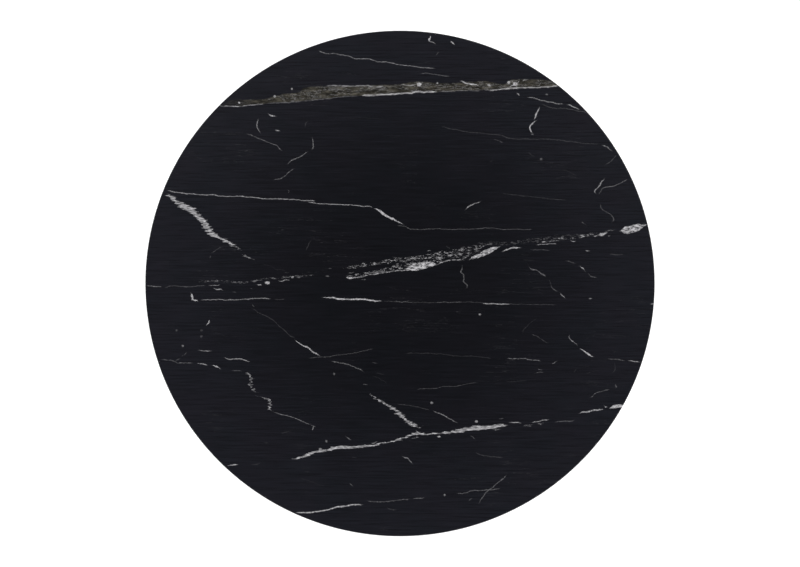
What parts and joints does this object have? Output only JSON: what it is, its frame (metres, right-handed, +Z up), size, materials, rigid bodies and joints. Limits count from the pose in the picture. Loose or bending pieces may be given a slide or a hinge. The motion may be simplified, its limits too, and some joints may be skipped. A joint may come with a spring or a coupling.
{
  "type": "round pedestal table",
  "caption": "Round pedestal table with a dark veined stone top on a steel column and a weighted disc base that stands on screw levellers.",
  "frame": {"origin": "on the column's axis, at floor level, under the levellers' felts", "axes": "+Z up along the column; +X and +Y each lie along two of the spider's arms, with the levellers at 45 degrees between them. Seen from above, the marble's bedding runs along X."},
  "size_m": [1.0998, 1.1, 0.74],
  "materials": {
    "marble": "satin",
    "plywood": "matte",
    "black_steel": "satin",
    "zinc_steel": "satin",
    "black_oxide": "satin",
    "brass": "satin",
    "grey_iron": "matte",
    "silicone": "satin",
    "rubber": "matte",
    "nylon": "matte",
    "felt": "matte"
  },
  "bodies": {
    "table": {"stone_top": "marble", "silicone_dabs": "silicone", "backing_board": "plywood", "threaded_inserts": "brass", "spider_hub": "black_steel", "spider_arms": "black_steel", "board_bolts": "black_oxide", "board_washers": "zinc_steel", "column_tube": "black_steel", "upper_collar": "black_steel", "lower_collar": "black_steel", "collar_set_screws": "black_oxide", "tie_rod": "zinc_steel", "upper_rod_nut": "zinc_steel", "upper_rod_washer": "zinc_steel", "lower_rod_nut": "zinc_steel", "lower_rod_washer": "zinc_steel", "base_casting": "grey_iron", "base_cover": "black_steel", "rim_ring": "rubber"},
    "foot_1": {"leveller_pad_1": "nylon", "leveller_felt_1": "felt"},
    "stud_1": {"leveller_stud_1": "zinc_steel"},
    "foot_2": {"leveller_pad_2": "nylon", "leveller_felt_2": "felt"},
    "stud_2": {"leveller_stud_2": "zinc_steel"},
    "foot_3": {"leveller_pad_3": "nylon", "leveller_felt_3": "felt"},
    "stud_3": {"leveller_stud_3": "zinc_steel"},
    "foot_4": {"leveller_pad_4": "nylon", "leveller_felt_4": "felt"},
    "stud_4": {"leveller_stud_4": "zinc_steel"}
  },
  "joints": [
    {"name": "leveller_1_lift", "type": "slide", "parent": "table", "child": "foot_1", "axis": [0, 0, -1], "range_m": [-0.0035, 0.008]},
    {"name": "leveller_1_turn", "type": "hinge", "parent": "foot_1", "child": "stud_1", "pos_m": [0.19445, 0.19445, 0.0085], "axis": [0, 0, -1], "range_deg": [-845, 1925]},
    {"name": "leveller_2_lift", "type": "slide", "parent": "table", "child": "foot_2", "axis": [0, 0, -1], "range_m": [-0.0035, 0.008]},
    {"name": "leveller_2_turn", "type": "hinge", "parent": "foot_2", "child": "stud_2", "pos_m": [-0.19445, 0.19445, 0.0085], "axis": [0, 0, -1], "range_deg": [-845, 1925]},
    {"name": "leveller_3_lift", "type": "slide", "parent": "table", "child": "foot_3", "axis": [0, 0, -1], "range_m": [-0.0035, 0.008]},
    {"name": "leveller_3_turn", "type": "hinge", "parent": "foot_3", "child": "stud_3", "pos_m": [-0.19445, -0.19445, 0.0085], "axis": [0, 0, -1], "range_deg": [-845, 1925]},
    {"name": "leveller_4_lift", "type": "slide", "parent": "table", "child": "foot_4", "axis": [0, 0, -1], "range_m": [-0.0035, 0.008]},
    {"name": "leveller_4_turn", "type": "hinge", "parent": "foot_4", "child": "stud_4", "pos_m": [0.19445, -0.19445, 0.0085], "axis": [0, 0, -1], "range_deg": [-845, 1925]}
  ],
  "couplings": [
    {"joint": "leveller_1_turn", "follows": "leveller_1_lift", "rad_per_m": 4188.8},
    {"joint": "leveller_2_turn", "follows": "leveller_2_lift", "rad_per_m": 4188.8},
    {"joint": "leveller_3_turn", "follows": "leveller_3_lift", "rad_per_m": 4188.8},
    {"joint": "leveller_4_turn", "follows": "leveller_4_lift", "rad_per_m": 4188.8}
  ]
}
